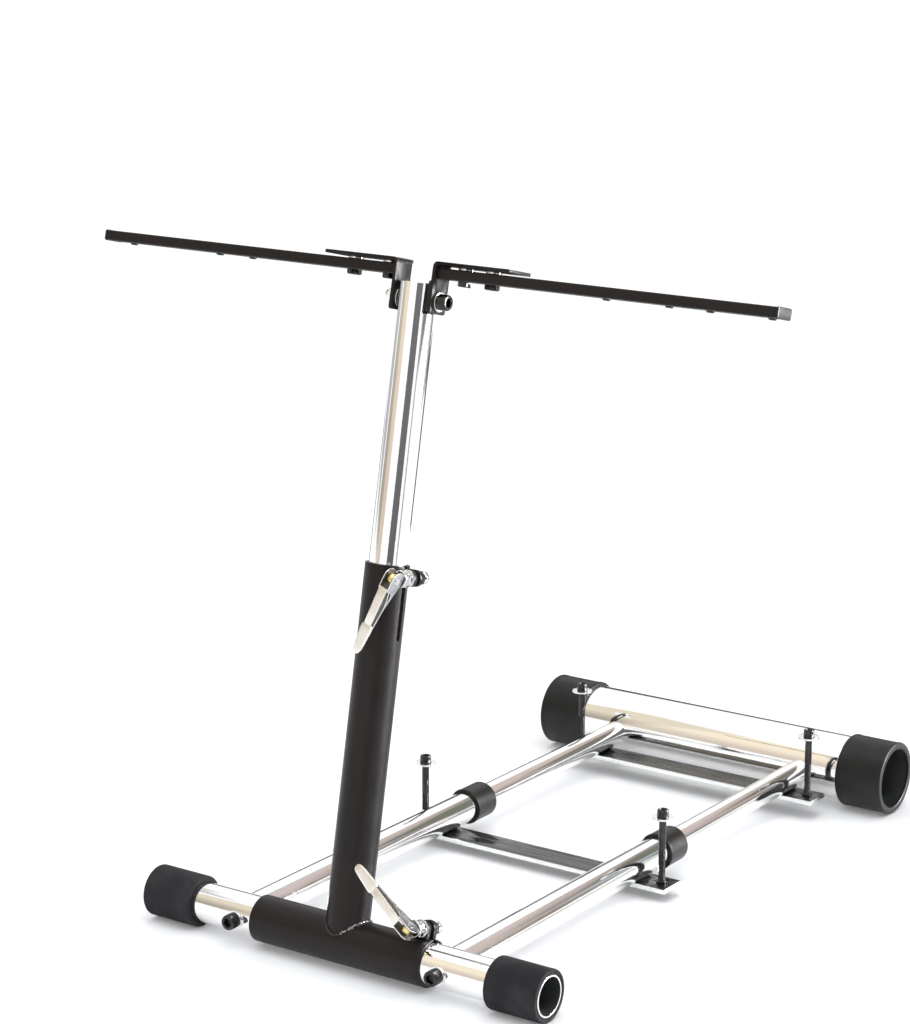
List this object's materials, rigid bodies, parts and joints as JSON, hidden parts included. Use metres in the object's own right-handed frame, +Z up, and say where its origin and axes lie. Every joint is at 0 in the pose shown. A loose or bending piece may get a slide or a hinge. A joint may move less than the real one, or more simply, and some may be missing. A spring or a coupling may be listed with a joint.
{
  "type": "folding stand for a desktop flight yoke and rudder pedals",
  "caption": "Folding floor stand with tilting telescopic chrome mast, tilting cross arms and a sliding two-rail base.",
  "frame": {"origin": "on the floor, midway between the front and rear ends and on the column's middle plane", "axes": "+X to the user's right, +Y from the user towards the pedals, +Z up"},
  "size_m": [0.806, 0.8362, 0.7042],
  "materials": {
    "chrome_tube": "bright chrome plate",
    "black_steel": "satin black powder coat",
    "black_foam": "matte black foam rubber",
    "black_rubber": "semi-gloss black rubber",
    "black_plastic": "satin black plastic",
    "black_oxide": "black oxide steel",
    "zinc": "bright zinc plate",
    "dark_bar": "gloss dark lacquer on flat steel with bright cut edges",
    "bright_fitting": "polished cast lever, slightly warm",
    "brass": "plain brass"
  },
  "bodies": {
    "base": {"front_crossbar": "chrome_tube", "front_grip_left": "black_foam", "front_grip_right": "black_foam", "crossbar_bolt_left": "black_oxide", "crossbar_bolt_right": "black_oxide", "crossbar_washers": "zinc", "side_tube_left": "chrome_tube", "side_tube_right": "chrome_tube", "tube_collar_left": "black_plastic", "tube_collar_right": "black_plastic", "pedal_bar_front": "dark_bar", "pedal_bolt_front_left": "black_oxide", "pedal_bolt_front_right": "black_oxide", "pedal_washers_front": "zinc"},
    "rear_base": {"inner_tube_left": "chrome_tube", "inner_tube_right": "chrome_tube", "rear_crossbar": "chrome_tube", "rear_foot_left": "black_rubber", "rear_foot_right": "black_rubber", "pedal_bar_rear": "dark_bar", "pedal_bolt_rear_left": "black_oxide", "pedal_bolt_rear_right": "black_oxide", "pedal_washers_rear": "zinc"},
    "column": {"column_tee": "black_steel", "height_clamp_bolt": "bright_fitting", "height_clamp_nuts": "black_oxide", "height_cam_washer": "brass", "tilt_clamp_bolt": "bright_fitting", "tilt_clamp_nuts": "black_oxide", "tilt_cam_washer": "brass"},
    "height_clamp_lever": {"height_lever": "bright_fitting"},
    "tilt_clamp_lever": {"tilt_lever": "bright_fitting"},
    "mast_tube": {"mast": "chrome_tube"},
    "head": {"bracket_left": "black_steel", "bracket_right": "black_steel", "pivot_bolt": "black_oxide", "pivot_nut": "zinc", "pivot_washers": "zinc", "mast_spacer": "black_plastic", "arm_left": "black_steel", "arm_right": "black_steel", "arm_cap_left": "black_plastic", "arm_cap_right": "black_plastic", "arm_bolts": "black_oxide", "arm_risers": "zinc", "arm_screws": "black_oxide"}
  },
  "joints": [
    {"name": "base_extend", "type": "slide", "parent": "base", "child": "rear_base", "axis": [0, 0.9999, 0.0171], "range_m": [-0.2, 0.06]},
    {"name": "column_fold", "type": "hinge", "parent": "base", "child": "column", "pos_m": [0, -0.38451, 0.027], "axis": [-1, 0, 0], "range_deg": [-6, 64]},
    {"name": "mast_height", "type": "slide", "parent": "column", "child": "mast_tube", "axis": [0, 0.1736, 0.9848], "range_m": [-0.085, 0.145]},
    {"name": "head_tilt", "type": "hinge", "parent": "mast_tube", "child": "head", "pos_m": [0, -0.27233, 0.66319], "axis": [-1, 0, 0], "range_deg": [-25, 25]},
    {"name": "height_lever_open", "type": "hinge", "parent": "column", "child": "height_clamp_lever", "pos_m": [0.031, -0.35257, 0.39961], "axis": [-0.9367, 0.0608, 0.3449], "range_deg": [0, 100]},
    {"name": "tilt_lever_open", "type": "hinge", "parent": "column", "child": "tilt_clamp_lever", "pos_m": [0.0915, -0.40746, 0.06758], "axis": [0.6018, 0.2201, 0.7677], "range_deg": [0, 100]}
  ]
}
